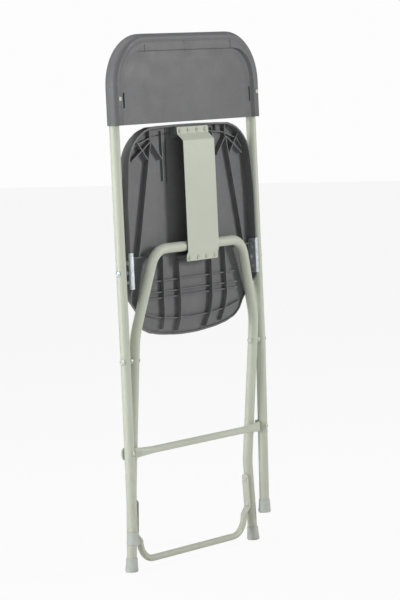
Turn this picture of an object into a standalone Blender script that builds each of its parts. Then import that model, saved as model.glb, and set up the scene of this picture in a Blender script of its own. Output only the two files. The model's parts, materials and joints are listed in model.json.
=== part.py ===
"""A folding chair, folded flat: a steel tube frame with a plastic seat and backrest.

x runs across the chair, y towards its rear and z up. The back frame's legs stand upright and the
chair rests on its rear feet. Sizes are in metres."""

import math

import bmesh
import bpy
from mathutils import Vector

# Clearances
TOUCH = 0.0003  # between pieces that touch
SLIDE = 0.0006  # round the crossbar in its channel

# Overall
FRAME_WIDTH = 0.430  # between the centre lines of the front legs
LEG_PIVOT_Z = 0.397  # above the rear feet
PIVOT_SPACING = 0.164  # from the leg pivots up to the seat pivots
SEAT_AHEAD = 0.268  # from the seat pivots to the seat's front edge
SEAT_BEHIND = 0.140  # and to its rear edge
TUBE = 0.019
TUBE_WALL = 0.0012

# Back frame: backrest uprights and front legs in one tube
FRONT_FOOT_Z = 0.053
FRONT_BEND_BELOW = 0.002  # below the leg pivots
FRONT_FOOT_BACK = 0.006  # the lower legs lean this far back
FRONT_FOOT_IN = 0.004  # and this far in
TOP_BEND_RADIUS = 0.085

# Pivots
LEG_GAP = 0.0075  # between a front leg tube and a rear leg tube
PIN = 0.007
PIN_HEAD = 0.012
PIN_HEAD_THICK = 0.0016
SPACER = 0.012

# Rear leg frame
CROSSBAR_UP = 0.202  # above the leg pivot
CROSSBAR_FORWARD = 0.020
CROSSBAR_IN = 0.0515  # the sloping sides' run inwards
CROSSBAR_BEND_RADIUS = 0.042
REAR_SHOULDER_UP = 0.0465
REAR_SHOULDER_RADIUS = 0.120
REAR_BEND_Z = 0.158
REAR_BEND_IN = 0.003
REAR_FOOT_OUT = 0.0065  # beyond the pivot
REAR_FOOT_BACK = 0.025
REAR_BEND_RADIUS = 0.200

# Foot caps
CAP_HEIGHT = 0.026
CAP_WALL = 0.0012
CAP_FLARE = 0.003  # wider at the bottom than at the top
CAP_FLOOR = 0.004

# Cross stretcher between the front legs
STRETCHER_Z = 0.225
STRETCHER = 0.0135
STRETCHER_END_HEIGHT = 0.023
STRETCHER_END_THICK = 0.0032
STRETCHER_PAST_LEG = 0.009
STRETCHER_CLEAR = 0.0012  # in front of the rear legs
STRETCHER_RIVET = 0.005

# Lower loop between the rear legs
LOOP = 0.0127
LOOP_Z = 0.016
LOOP_BEND_RADIUS = 0.045
LOOP_STRIP_WIDTH = 0.016
LOOP_STRIP_THICK = 0.0032
LOOP_TOP_Z = 0.133
LOOP_RIVETS_Z = (0.123, 0.074)
LOOP_RIVET = 0.005

# Backrest
BACK_HEIGHT = 0.167
BACK_WALL = 0.0022  # outside and behind the tube
BACK_FRONT = 0.017  # from the tube's centre line to the front of the rim
BACK_EDGE_RADIUS = 0.005
BACK_RIM_WIDTH = 0.028
BACK_STEP = 0.0065  # the panel lies this far behind the rim
BACK_RIVET = 0.005
BACK_RIVET_BELOW_TOP = 0.118

# Seat
SEAT_SIDE_GAP = 0.006  # to the front legs
SEAT_FRONT_GAP = 0.004  # below the backrest
SEAT_SKIN = 0.0035
SEAT_RIM_WALL = 0.0045
SEAT_RIM_FRONT = 0.0118  # the rim stands this far in front of the pivots
PANEL_BACK = -0.0010  # underside of the panel at its middle
SIDE_RISE = 0.0070
REAR_RISE = 0.022
REAR_RISE_FROM = -0.058  # above the seat pivots
RIM_FADES_FROM = -0.033
RIM_FADES_TO = -0.071
RIB_THICK = 0.0025

# Hinge brackets on the seat
BRACKET_SHEET = 0.0018
BRACKET_LIP = 0.0045  # the short flange on the rim's outer side
BRACKET_UP = 0.036
BRACKET_DOWN = 0.031
BRACKET_RIVET = 0.0045
BRACKET_RIVET_PITCH = 0.018

# Slide channel under the seat
CHANNEL_HALF = 0.049
CHANNEL_SHEET = 0.0015
CHANNEL_PAST_BAR = 0.0195  # beyond the folded crossbar
CHANNEL_NECK_BELOW = 0.031  # below the seat's front edge
CHANNEL_TOP_BELOW = 0.006
CHANNEL_JOGGLE = 0.012
CHANNEL_TAIL_BACK = 0.0035  # the rear end lies this far behind the run
CHANNEL_TAIL_JOGGLE = 0.006
FRONT_PAD_FRONT = 0.0165
SCREW = 0.004
SCREW_HEAD = 0.009
SCREW_HEAD_THICK = 0.0018
ROW_SCREWS = 4
SCREW_PITCH = 0.0265

ROUND = 20  # sides of a tube
SMALL_ROUND = 14  # sides of a rivet

# Worked out from the above
HALF = FRAME_WIDTH / 2
REAR_HALF = HALF - TUBE - LEG_GAP
SEAT_HALF = HALF - TUBE / 2 - SEAT_SIDE_GAP
SEAT_PIVOT_Z = LEG_PIVOT_Z + PIVOT_SPACING
SEAT_TOP_Z = SEAT_PIVOT_Z + SEAT_AHEAD
SEAT_LOW_Z = SEAT_PIVOT_Z - SEAT_BEHIND
BACK_BOTTOM = SEAT_TOP_Z + SEAT_FRONT_GAP
TOTAL_HEIGHT = BACK_BOTTOM + BACK_HEIGHT
FRONT_BEND_Z = LEG_PIVOT_Z - FRONT_BEND_BELOW
REAR_SHOULDER_Z = LEG_PIVOT_Z + REAR_SHOULDER_UP
CROSSBAR_HALF = REAR_HALF - CROSSBAR_IN
CAP_TOP = TUBE + 2 * (TOUCH + CAP_WALL)
CAP_BOTTOM = CAP_TOP + CAP_FLARE
CROSSBAR_Z = LEG_PIVOT_Z + CROSSBAR_UP
REAR_SLOPE = CROSSBAR_FORWARD / CROSSBAR_UP
CHANNEL_INSIDE = -CROSSBAR_FORWARD - TUBE / 2 - SLIDE
CHANNEL_OUTSIDE = CHANNEL_INSIDE - CHANNEL_SHEET
RIB_FRONT = -CROSSBAR_FORWARD + TUBE / 2 + SLIDE
CHANNEL_LOW_Z = CROSSBAR_Z - TUBE / 2 - CHANNEL_PAST_BAR
CHANNEL_NECK_Z = SEAT_TOP_Z - CHANNEL_NECK_BELOW
CHANNEL_TOP_Z = SEAT_TOP_Z - CHANNEL_TOP_BELOW
BACK_OUT = TUBE / 2 + TOUCH + BACK_WALL
MOST_FORWARD = CHANNEL_OUTSIDE
MOST_BACK = REAR_FOOT_BACK + CAP_BOTTOM / 2
FRAME_Y = -(MOST_FORWARD + MOST_BACK) / 2  # puts the origin under the middle of the chair


def at(x, y, z):
    """A point of the chair; y is measured from the back frame's centre line."""
    return Vector((x, y + FRAME_Y, z))


# ---------------------------------------------------------------- materials


def material(name, colour, roughness, metallic=0.0):
    made = bpy.data.materials.new(name)
    made.use_nodes = True
    shader = made.node_tree.nodes["Principled BSDF"]
    shader.inputs["Base Color"].default_value = (*colour, 1.0)
    shader.inputs["Roughness"].default_value = roughness
    shader.inputs["Metallic"].default_value = metallic
    return made


def make_materials():
    return {
        "paint": material("painted_steel", (0.52, 0.53, 0.44), 0.45),
        "plastic": material("dark_plastic", (0.15, 0.15, 0.155), 0.5),
        "zinc": material("galvanised_steel", (0.60, 0.66, 0.70), 0.35, 1.0),
        "cap": material("grey_cap", (0.42, 0.43, 0.40), 0.6),
    }


# ---------------------------------------------------------------- mesh tools


def add_object(name, mesh_maker, finish):
    """One object from a bmesh, with its normals out and its flat faces sharp."""
    mesh_maker.normal_update()
    bmesh.ops.recalc_face_normals(mesh_maker, faces=mesh_maker.faces)
    mesh = bpy.data.meshes.new(name)
    mesh_maker.to_mesh(mesh)
    mesh_maker.free()
    mesh.shade_smooth()
    mesh.set_sharp_from_angle(angle=math.radians(35))
    made = bpy.data.objects.new(name, mesh)
    made.data.materials.append(finish)
    bpy.context.scene.collection.objects.link(made)
    return made


def add_helper(name, mesh_maker):
    """A Boolean's second object, which is not a piece of the chair."""
    mesh_maker.normal_update()
    bmesh.ops.recalc_face_normals(mesh_maker, faces=mesh_maker.faces)
    mesh = bpy.data.meshes.new(name)
    mesh_maker.to_mesh(mesh)
    mesh_maker.free()
    made = bpy.data.objects.new(name, mesh)
    made.hide_render = True
    made.display_type = "WIRE"
    bpy.context.scene.collection.objects.link(made)
    return made


def combine(piece, helper, operation):
    modifier = piece.modifiers.new(operation.lower() + "_" + helper.name, "BOOLEAN")
    modifier.operation = operation
    modifier.object = helper
    modifier.solver = "EXACT"


def set_origin(piece, point):
    """Moves the object's origin to a point and leaves its shape where it is."""
    for vertex in piece.data.vertices:
        vertex.co -= point
    piece.location = point


def bridge_rings(maker, rings, close_ends=True, close_loop=False):
    """Faces between rings of equally many points; a ring of one point closes to a tip."""
    rows = [[maker.verts.new(point) for point in ring] for ring in rings]
    pairs = list(zip(rows, rows[1:]))
    if close_loop:
        pairs.append((rows[-1], rows[0]))
    for low, high in pairs:
        count = max(len(low), len(high))
        for i in range(count):
            j = (i + 1) % count
            corners = [low[i % len(low)], low[j % len(low)], high[j % len(high)], high[i % len(high)]]
            maker.faces.new(list(dict.fromkeys(corners)))
    if close_ends and not close_loop:
        for row in (rows[0], rows[-1]):
            if len(row) > 2:
                maker.faces.new(row)


def rounded_path(corners, steps=8):
    """Points along straight runs joined by arcs. Each corner is (point, bend radius)."""
    path = [corners[0][0]]
    for (before, _), (corner, radius), (after, _) in zip(corners, corners[1:], corners[2:]):
        path += arc_at(before, corner, after, radius, steps)
    path.append(corners[-1][0])
    return path


def arc_at(before, corner, after, radius, steps):
    into = (before - corner).normalized()
    out = (after - corner).normalized()
    half_angle = into.angle(out) / 2
    if radius == 0 or half_angle > math.radians(89.7):
        return [corner]
    middle = corner + (into + out).normalized() * (radius / math.sin(half_angle))
    start = corner + into * (radius / math.tan(half_angle)) - middle
    end = corner + out * (radius / math.tan(half_angle)) - middle
    turn = start.angle(end)
    return [
        middle
        + start * (math.sin(turn * (1 - i / steps)) / math.sin(turn))
        + end * (math.sin(turn * i / steps) / math.sin(turn))
        for i in range(steps + 1)
    ]


def along(path, i):
    before = path[max(i - 1, 0)]
    after = path[min(i + 1, len(path) - 1)]
    return (after - before).normalized()


def ring_at(centre, direction, across, deep, sides=ROUND):
    """An oval ring across a direction; `deep` is its half size nearest to y."""
    side = Vector((0, 1, 0)).cross(direction).normalized()
    normal = direction.cross(side)
    turns = [2 * math.pi * k / sides for k in range(sides)]
    return [centre + side * across * math.cos(a) + normal * deep * math.sin(a) for a in turns]


def hollow_tube(path, diameter, wall):
    """A tube with open ends."""
    maker = bmesh.new()
    outer = [ring_at(p, along(path, i), diameter / 2, diameter / 2) for i, p in enumerate(path)]
    bore = diameter / 2 - wall
    inner = [ring_at(p, along(path, i), bore, bore) for i, p in enumerate(path)]
    bridge_rings(maker, outer + inner[::-1], close_loop=True)
    return maker


def solid_bar(path, half_sizes, sides=ROUND):
    maker = bmesh.new()
    rings = [
        ring_at(p, along(path, i), *half_sizes[i], sides=sides) for i, p in enumerate(path)
    ]
    bridge_rings(maker, rings)
    return maker


def turned(base, axis, profile, sides=SMALL_ROUND, closed=False):
    """A shape turned about an axis through `base`, from (radius, height) points."""
    maker = bmesh.new()
    axis = axis.normalized()
    first = axis.orthogonal().normalized()
    second = axis.cross(first)
    turns = [2 * math.pi * k / sides for k in range(sides)]
    rings = []
    for radius, height in profile:
        middle = base + axis * height
        if radius == 0:
            rings.append([middle])
        else:
            ring = [first * radius * math.cos(a) + second * radius * math.sin(a) for a in turns]
            rings.append([middle + offset for offset in ring])
    bridge_rings(maker, rings, close_loop=closed)
    return maker


def box(low, high):
    maker = bmesh.new()
    bmesh.ops.create_cube(maker, size=1.0)
    middle = (low + high) / 2
    size = high - low
    for vertex in maker.verts:
        vertex.co = middle + Vector(a * b for a, b in zip(vertex.co, size))
    return maker


def drill(piece, name, start, end, diameter):
    """A straight hole through a piece."""
    length = (end - start).length
    cutter = turned(start, end - start, [(diameter / 2, 0), (diameter / 2, length)])
    combine(piece, add_helper("hole_" + name, cutter), "DIFFERENCE")


def rivet(name, start, end, shank, head, head_thick, finish):
    """A pin from start to end with a domed head past each."""
    length = (end - start).length
    profile = [
        (0, -head_thick),
        (head * 0.28, -head_thick),
        (head * 0.46, -head_thick * 0.5),
        (head / 2, 0),
        (shank / 2, 0),
        (shank / 2, length),
        (head / 2, length),
        (head * 0.46, length + head_thick * 0.5),
        (head * 0.28, length + head_thick),
        (0, length + head_thick),
    ]
    return add_object(name, turned(start, end - start, profile), finish)


def offset_corners(corners, inset):
    """Moves each side of a convex outline of (x, z, radius) corners inwards."""
    count = len(corners)
    moved = []
    for i, (x, z, radius) in enumerate(corners):
        here = Vector((x, z))
        before = Vector(corners[i - 1][:2])
        after = Vector(corners[(i + 1) % count][:2])
        first = (here - before).normalized()
        second = (after - here).normalized()
        inward = [Vector((-edge.y, edge.x)) for edge in (first, second)]
        place = here + (inward[0] + inward[1]) * inset / (1 + inward[0].dot(inward[1]))
        moved.append((place.x, place.y, max(radius - inset, 0.001)))
    return moved


def no_longer_than(points, longest):
    """Adds points to a closed outline so that none of its sides is longer."""
    filled = []
    for here, after in zip(points, points[1:] + points[:1]):
        count = math.ceil(math.dist(here, after) / longest)
        shares = [i / count for i in range(count)]
        filled += [tuple(a + (b - a) * share for a, b in zip(here, after)) for share in shares]
    return filled


def outline_points(corners, steps=6):
    """The (x, z) points of a closed outline whose corners are rounded."""
    count = len(corners)
    places = [Vector((x, 0, z)) for x, z, _ in corners]
    points = []
    for i, (_, _, radius) in enumerate(corners):
        points += arc_at(places[i - 1], places[i], places[(i + 1) % count], radius, steps)
    return [(p.x, p.z) for p in points]


# ---------------------------------------------------------------- back frame


def back_frame_corners(below=0.0):
    """The tube's centre line: up the left leg, over the top and down the right one."""
    top = TOTAL_HEIGHT - BACK_OUT
    foot_x = HALF - FRONT_FOOT_IN
    foot_z = FRONT_FOOT_Z + CAP_FLOOR + TOUCH - below
    left = [
        (at(-foot_x, FRONT_FOOT_BACK, foot_z), 0),
        (at(-HALF, 0, FRONT_BEND_Z), 0),
        (at(-HALF, 0, top), TOP_BEND_RADIUS),
    ]
    right = [(Vector((-p.x, p.y, p.z)), radius) for p, radius in reversed(left)]
    return left + right


def leg_back(z):
    """How far the front leg's centre line is behind its straight part."""
    share = (FRONT_BEND_Z - z) / (FRONT_BEND_Z - FRONT_FOOT_Z)
    return FRONT_FOOT_BACK * max(share, 0.0)


def leg_half(z):
    """Half the distance between the front legs."""
    share = (FRONT_BEND_Z - z) / (FRONT_BEND_Z - FRONT_FOOT_Z)
    return HALF - FRONT_FOOT_IN * max(share, 0.0)


def make_back_frame(finish):
    path = rounded_path(back_frame_corners())
    frame = add_object("back_frame_tube", hollow_tube(path, TUBE, TUBE_WALL), finish["paint"])
    for side in (-1, 1):
        for label, z in (("leg", LEG_PIVOT_Z), ("seat", SEAT_PIVOT_Z)):
            inner = at(side * (leg_half(z) - TUBE), leg_back(z), z)
            outer = at(side * (leg_half(z) + TUBE), leg_back(z), z)
            drill(frame, f"{label}_pivot_frame_{side}", inner, outer, PIN + 2 * TOUCH)
        x = side * leg_half(STRETCHER_Z)
        y = leg_back(STRETCHER_Z)
        front = at(x, y - TUBE, STRETCHER_Z)
        drill(frame, f"stretcher_frame_{side}", front, at(x, y + TUBE, STRETCHER_Z), STRETCHER_RIVET + 2 * TOUCH)
        z = TOTAL_HEIGHT - BACK_RIVET_BELOW_TOP
        drill(frame, f"backrest_frame_{side}", at(side * HALF, -TUBE, z), at(side * HALF, TUBE, z), BACK_RIVET + 2 * TOUCH)


def foot_cap(name, base, lean, finish):
    """A flared cup over the end of a leg; `lean` is the leg's sideways and rearward slope."""
    maker = bmesh.new()
    bore = TUBE / 2 + TOUCH

    def ring(radius, height):
        middle = base + Vector((lean[0], lean[1], 1)) * height
        turns = [2 * math.pi * k / ROUND for k in range(ROUND)]
        return [middle + Vector((radius * math.cos(a), radius * math.sin(a), 0)) for a in turns]

    rings = [
        ring(bore, CAP_FLOOR),
        ring(bore, CAP_HEIGHT),
        ring(CAP_TOP / 2 - 0.0008, CAP_HEIGHT),
        ring(CAP_TOP / 2, CAP_HEIGHT - 0.0012),
        ring(CAP_BOTTOM / 2, 0.005),
        ring(CAP_BOTTOM / 2, 0.0015),
        ring(CAP_BOTTOM / 2 - 0.0015, 0),
    ]
    bridge_rings(maker, rings)
    return add_object(name, maker, finish["cap"])


def make_front_caps(finish):
    height = FRONT_BEND_Z - FRONT_FOOT_Z
    for side, word in ((-1, "left"), (1, "right")):
        lean = (side * FRONT_FOOT_IN / height, -FRONT_FOOT_BACK / height)
        base = at(side * (HALF - FRONT_FOOT_IN), FRONT_FOOT_BACK, FRONT_FOOT_Z)
        foot_cap(f"front_foot_cap_{word}", base, lean, finish)


def stretcher_stations():
    """(x, y, half height, half thickness) from the left leg to the middle of the stretcher."""
    leg = leg_half(STRETCHER_Z)
    round_y = rear_back(STRETCHER_Z) - TUBE / 2 - STRETCHER_CLEAR - STRETCHER / 2
    flat_y = leg_back(STRETCHER_Z) + TUBE / 2 + TOUCH + STRETCHER_END_THICK / 2
    flat = (STRETCHER_END_HEIGHT / 2, STRETCHER_END_THICK / 2)
    rear_leg = REAR_HALF + TUBE / 2
    pinch = (STRETCHER_END_HEIGHT * 0.44, STRETCHER_END_THICK * 0.8)
    end = leg + STRETCHER_PAST_LEG
    return [
        (end, flat_y, flat[0] * 0.45, flat[1]),
        (end - 0.0025, flat_y, flat[0] * 0.85, flat[1]),
        (end - 0.006, flat_y, *flat),
        (leg - TUBE / 2 + 0.001, flat_y, *flat),
        (rear_leg + 0.0015, round_y + 0.002, *pinch),
        (REAR_HALF - 0.004, round_y, STRETCHER_END_HEIGHT * 0.38, STRETCHER * 0.36),
        (REAR_HALF - 0.040, round_y, STRETCHER / 2, STRETCHER / 2),
    ]


def make_stretcher(finish):
    half = stretcher_stations()
    stations = [(-x, y, a, b) for x, y, a, b in half] + half[::-1]
    path = [at(x, y, STRETCHER_Z) for x, y, _, _ in stations]
    maker = bmesh.new()
    rings = [
        ring_at(p, Vector((1, 0, 0)), a, b) for p, (_, _, a, b) in zip(path, stations)
    ]
    bridge_rings(maker, rings)
    bar = add_object("cross_stretcher", maker, finish["paint"])
    flat_y = half[0][1]
    for side, word in ((-1, "left"), (1, "right")):
        x = side * leg_half(STRETCHER_Z)
        front = leg_back(STRETCHER_Z) - TUBE / 2 - TOUCH
        back = flat_y + STRETCHER_END_THICK / 2 + TOUCH
        drill(bar, f"stretcher_{word}", at(x, 0, STRETCHER_Z), at(x, 2 * TUBE, STRETCHER_Z), STRETCHER_RIVET + 2 * TOUCH)
        start = at(x, front, STRETCHER_Z)
        rivet(f"stretcher_rivet_{word}", start, at(x, back, STRETCHER_Z), STRETCHER_RIVET, 0.009, 0.0014, finish["paint"])


# ---------------------------------------------------------------- backrest


def back_corners():
    half = HALF + BACK_OUT
    top_radius = TOP_BEND_RADIUS + BACK_OUT
    return [
        (-half, BACK_BOTTOM, 0.008),
        (half, BACK_BOTTOM, 0.008),
        (half, TOTAL_HEIGHT, top_radius),
        (-half, TOTAL_HEIGHT, top_radius),
    ]


def back_ring(inset, y):
    return [at(x, y, z) for x, z in outline_points(offset_corners(back_corners(), inset))]


def make_backrest(finish):
    rear = BACK_OUT
    edge = BACK_EDGE_RADIUS
    rings = [
        back_ring(edge, rear),
        back_ring(edge * 0.3, rear - edge * 0.3),
        back_ring(0, rear - edge),
        back_ring(0, -BACK_FRONT + edge),
        back_ring(edge * 0.3, -BACK_FRONT + edge * 0.3),
        back_ring(edge, -BACK_FRONT),
    ]
    maker = bmesh.new()
    bridge_rings(maker, rings)
    backrest = add_object("backrest_shell", maker, finish["plastic"])
    combine(backrest, panel_recess(), "DIFFERENCE")
    path = rounded_path(back_frame_corners())
    groove = solid_bar(path, [(TUBE / 2 + TOUCH, TUBE / 2 + TOUCH)] * len(path))
    combine(backrest, add_helper("tube_groove", groove), "DIFFERENCE")
    combine(backrest, rear_pocket(), "DIFFERENCE")
    for side, word in ((-1, "left"), (1, "right")):
        z = TOTAL_HEIGHT - BACK_RIVET_BELOW_TOP
        front = at(side * HALF, -BACK_FRONT - TOUCH, z)
        back = at(side * HALF, BACK_OUT + TOUCH, z)
        drill(backrest, f"backrest_{word}", at(side * HALF, -0.03, z), at(side * HALF, 0.03, z), BACK_RIVET + 2 * TOUCH)
        rivet(f"backrest_rivet_{word}", front, back, BACK_RIVET, 0.0085, 0.0013, finish["paint"])


def panel_recess():
    """Cuts the smooth front panel back from the rim; the recess runs out at the bottom edge."""
    half = HALF + BACK_OUT - BACK_RIM_WIDTH
    top = TOTAL_HEIGHT - BACK_RIM_WIDTH
    radius = TOP_BEND_RADIUS + BACK_OUT - BACK_RIM_WIDTH
    low = BACK_BOTTOM - 0.02
    corners = [(-half, low, 0.001), (half, low, 0.001), (half, top, radius), (-half, top, radius)]
    maker = bmesh.new()
    rings = [
        [at(x, y, z) for x, z in outline_points(offset_corners(corners, inset))]
        for inset, y in ((-0.001, -BACK_FRONT - 0.002), (0.0015, -BACK_FRONT + BACK_STEP))
    ]
    bridge_rings(maker, rings)
    return add_helper("panel_recess", maker)


def rear_pocket():
    """Hollows the middle of the backrest from below, between the legs of the tube."""
    wall = 0.003
    half = HALF - TUBE / 2 - TOUCH - wall
    top = TOTAL_HEIGHT - BACK_OUT - TUBE / 2 - TOUCH - wall
    radius = TOP_BEND_RADIUS - TUBE / 2 - wall
    low = BACK_BOTTOM - 0.02
    corners = [(-half, low, 0.001), (half, low, 0.001), (half, top, radius), (-half, top, radius)]
    maker = bmesh.new()
    front = -BACK_FRONT + BACK_STEP + wall
    rings = [
        [at(x, y, z) for x, z in outline_points(corners)] for y in (front, BACK_OUT - wall)
    ]
    bridge_rings(maker, rings)
    return add_helper("rear_pocket", maker)


# ---------------------------------------------------------------- rear leg frame


def rear_back(z):
    """The rear frame's centre line, measured back from the back frame's."""
    if z >= REAR_BEND_Z:
        return (LEG_PIVOT_Z - z) * REAR_SLOPE
    bend = (LEG_PIVOT_Z - REAR_BEND_Z) * REAR_SLOPE
    return bend + (REAR_FOOT_BACK - bend) * (REAR_BEND_Z - z) / REAR_BEND_Z


def rear_half(z):
    """Half the distance between the rear legs below the leg pivot."""
    bend = REAR_HALF - REAR_BEND_IN
    if z >= REAR_BEND_Z:
        return REAR_HALF - REAR_BEND_IN * (LEG_PIVOT_Z - z) / (LEG_PIVOT_Z - REAR_BEND_Z)
    return bend + (REAR_HALF + REAR_FOOT_OUT - bend) * (REAR_BEND_Z - z) / REAR_BEND_Z


def rear_frame_corners():
    splay = (rear_half(0) - rear_half(REAR_BEND_Z)) / REAR_BEND_Z
    foot_z = CAP_FLOOR + TOUCH + splay * TUBE / 2

    def corner(x, z, radius):
        return (at(-x, rear_back(z), z), radius)

    left = [
        corner(rear_half(foot_z), foot_z, 0),
        corner(rear_half(REAR_BEND_Z), REAR_BEND_Z, REAR_BEND_RADIUS),
        corner(REAR_HALF, LEG_PIVOT_Z, 0),
        corner(REAR_HALF, REAR_SHOULDER_Z, REAR_SHOULDER_RADIUS),
        corner(CROSSBAR_HALF, CROSSBAR_Z, CROSSBAR_BEND_RADIUS),
    ]
    right = [(Vector((-p.x, p.y, p.z)), radius) for p, radius in reversed(left)]
    return left + right


def make_rear_frame(finish):
    path = rounded_path(rear_frame_corners(), steps=6)
    frame = add_object("rear_leg_tube", hollow_tube(path, TUBE, TUBE_WALL), finish["paint"])
    for side in (-1, 1):
        inner = at(side * (REAR_HALF - TUBE), 0, LEG_PIVOT_Z)
        outer = at(side * (REAR_HALF + TUBE), 0, LEG_PIVOT_Z)
        drill(frame, f"leg_pivot_rear_{side}", inner, outer, PIN + 2 * TOUCH)
        for i, z in enumerate(LOOP_RIVETS_Z):
            inner = at(side * (rear_half(z) - TUBE), rear_back(z), z)
            outer = at(side * (rear_half(z) + TUBE), rear_back(z), z)
            drill(frame, f"loop_frame_{side}_{i}", inner, outer, LOOP_RIVET + 2 * TOUCH)
    set_origin(frame, at(0, 0, LEG_PIVOT_Z))


def make_rear_caps(finish):
    sideways = (rear_half(0) - rear_half(REAR_BEND_Z)) / REAR_BEND_Z
    rearward = (rear_back(0) - rear_back(REAR_BEND_Z)) / REAR_BEND_Z
    for side, word in ((-1, "left"), (1, "right")):
        base = at(side * rear_half(0), rear_back(0), 0)
        foot_cap(f"rear_foot_cap_{word}", base, (-side * sideways, -rearward), finish)


def loop_half(z):
    """Half the distance between the middles of the loop's flattened ends."""
    return rear_half(z) - TUBE / 2 - TOUCH - LOOP_STRIP_THICK / 2


def make_loop(finish):
    """A thin tube bent to a shallow U, its ends flattened against the inside of the rear legs."""
    last_flat_z = LOOP_RIVETS_Z[-1] - 0.010
    round_z = LOOP_Z + LOOP_BEND_RADIUS
    strip = (LOOP_STRIP_THICK / 2, LOOP_STRIP_WIDTH / 2)
    half = [
        (loop_half(LOOP_TOP_Z), LOOP_TOP_Z, strip[0], strip[1] * 0.45),
        (loop_half(LOOP_TOP_Z - 0.002), LOOP_TOP_Z - 0.002, strip[0], strip[1] * 0.85),
        (loop_half(LOOP_TOP_Z - 0.006), LOOP_TOP_Z - 0.006, *strip),
        (loop_half(REAR_BEND_Z * 0.5), REAR_BEND_Z * 0.5, *strip),
        (loop_half(last_flat_z), last_flat_z, *strip),
    ]
    foot_in = rear_half(round_z) - CAP_BOTTOM / 2 - TOUCH - LOOP / 2 - 0.0055
    corner = Vector((foot_in, 0, LOOP_Z))
    bend = arc_at(Vector((foot_in, 0, round_z + 0.02)), corner, Vector((0, 0, LOOP_Z)), LOOP_BEND_RADIUS, 6)
    half += [(p.x, p.z, LOOP / 2, LOOP / 2) for p in bend]
    stations = [(-x, z, a, b) for x, z, a, b in half] + half[::-1]
    path = [at(x, rear_back(z), z) for x, z, _, _ in stations]
    loop = add_object("rear_stretcher_loop", solid_bar(path, [s[2:] for s in stations]), finish["paint"])
    for side, word in ((-1, "left"), (1, "right")):
        for label, z in zip(("upper", "lower"), LOOP_RIVETS_Z):
            x = rear_half(z)
            hole = (at(side * (x - TUBE), rear_back(z), z), at(side * (x + TUBE), rear_back(z), z))
            drill(loop, f"loop_{word}_{label}", *hole, LOOP_RIVET + 2 * TOUCH)
            inner = at(side * (x - TUBE / 2 - LOOP_STRIP_THICK - 2 * TOUCH), rear_back(z), z)
            outer = at(side * (x + TUBE / 2 + TOUCH), rear_back(z), z)
            rivet(f"loop_rivet_{word}_{label}", inner, outer, LOOP_RIVET, 0.009, 0.0014, finish["paint"])


def make_leg_pivots(finish):
    for side, word in ((-1, "left"), (1, "right")):
        leg = leg_half(LEG_PIVOT_Z)
        y = leg_back(LEG_PIVOT_Z)
        outer = at(side * (leg + TUBE / 2 + TOUCH), y, LEG_PIVOT_Z)
        inner = at(side * (REAR_HALF - TUBE / 2 - TOUCH), y, LEG_PIVOT_Z)
        rivet(f"leg_pivot_rivet_{word}", outer, inner, PIN, PIN_HEAD, PIN_HEAD_THICK, finish["zinc"])
        gap_in = REAR_HALF + TUBE / 2 + TOUCH
        gap_out = leg - TUBE / 2 - TOUCH
        washer(f"leg_pivot_spacer_{word}", side, (gap_in, gap_out), y, LEG_PIVOT_Z, SPACER, finish)


def washer(name, side, span, y, z, diameter, finish):
    length = span[1] - span[0]
    bore = PIN / 2 + TOUCH
    profile = [(bore, 0), (diameter / 2, 0), (diameter / 2, length), (bore, length)]
    shape = turned(at(side * span[0], y, z), Vector((side, 0, 0)), profile, closed=True)
    return add_object(name, shape, finish["zinc"])


# ---------------------------------------------------------------- seat


def seat_corners():
    """The seat seen from below, from its rear edge round to its front edge."""
    low, top = SEAT_LOW_Z, SEAT_TOP_Z
    right = [
        (SEAT_HALF * 0.805, low + 0.022, 0.024),
        (SEAT_HALF, low + 0.096, 0.045),
        (SEAT_HALF, top - 0.095, 0.150),
        (SEAT_HALF * 0.885, top - 0.006, 0.056),
    ]
    left = [(-x, z, radius) for x, z, radius in reversed(right)]
    return [(0, low, 0.9)] + right + [(0, top, 1.2)] + left


def under(x, z):
    """The panel's underside: lowest in the middle, rising to the sides and the rear edge."""
    side = SIDE_RISE * min(abs(x) / SEAT_HALF, 1.0) ** 3
    start = SEAT_PIVOT_Z + REAR_RISE_FROM
    rear = max(0.0, (start - z) / (start - SEAT_LOW_Z))
    return PANEL_BACK + side + REAR_RISE * rear**2


def rim_front(x, z):
    """The front edge of the rim, which fades out where the rear legs cross it."""
    share = (z - SEAT_PIVOT_Z - RIM_FADES_TO) / (RIM_FADES_FROM - RIM_FADES_TO)
    share = min(max(share, 0.0), 1.0)
    share = share * share * (3 - 2 * share)
    faded = under(x, z) - 0.0025
    return faded + (-SEAT_RIM_FRONT - faded) * share


def seat_shell_rings():
    """Rings from the middle of the sitting side, over the rim, to the middle of the underside."""
    centre = Vector((0, (SEAT_LOW_Z + SEAT_TOP_Z) / 2))
    edge = no_longer_than(outline_points(seat_corners(), steps=4), (SEAT_TOP_Z - SEAT_LOW_Z) / 20)
    count = len(edge)
    across = [Vector(edge[(i + 1) % count]) - Vector(edge[i - 1]) for i in range(count)]
    inward = [Vector((-step.y, step.x)).normalized() for step in across]

    def scaled(share, inset, height):
        places = [Vector(p) + side * inset for p, side in zip(edge, inward)]
        places = [centre + (place - centre) * share for place in places]
        return [at(x, height(x, z), z) for x, z in places]

    def top(x, z):
        return under(x, z) + SEAT_SKIN

    inner = SEAT_RIM_WALL
    rings = [[at(0, top(0, centre.y), centre.y)]]
    shares = (0.2, 0.4, 0.6, 0.75, 0.88, 1.0)
    rings += [scaled(share, 0.004, top) for share in shares]
    rings.append(scaled(1, 0.0008, lambda x, z: top(x, z) - 0.0012))
    rings.append(scaled(1, 0, lambda x, z: top(x, z) - 0.004))
    rings.append(scaled(1, 0, rim_front))
    rings.append(scaled(1, inner, rim_front))
    rings += [scaled(share, inner, under) for share in reversed(shares)]
    rings.append([at(0, under(0, centre.y), centre.y)])
    return rings


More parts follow.
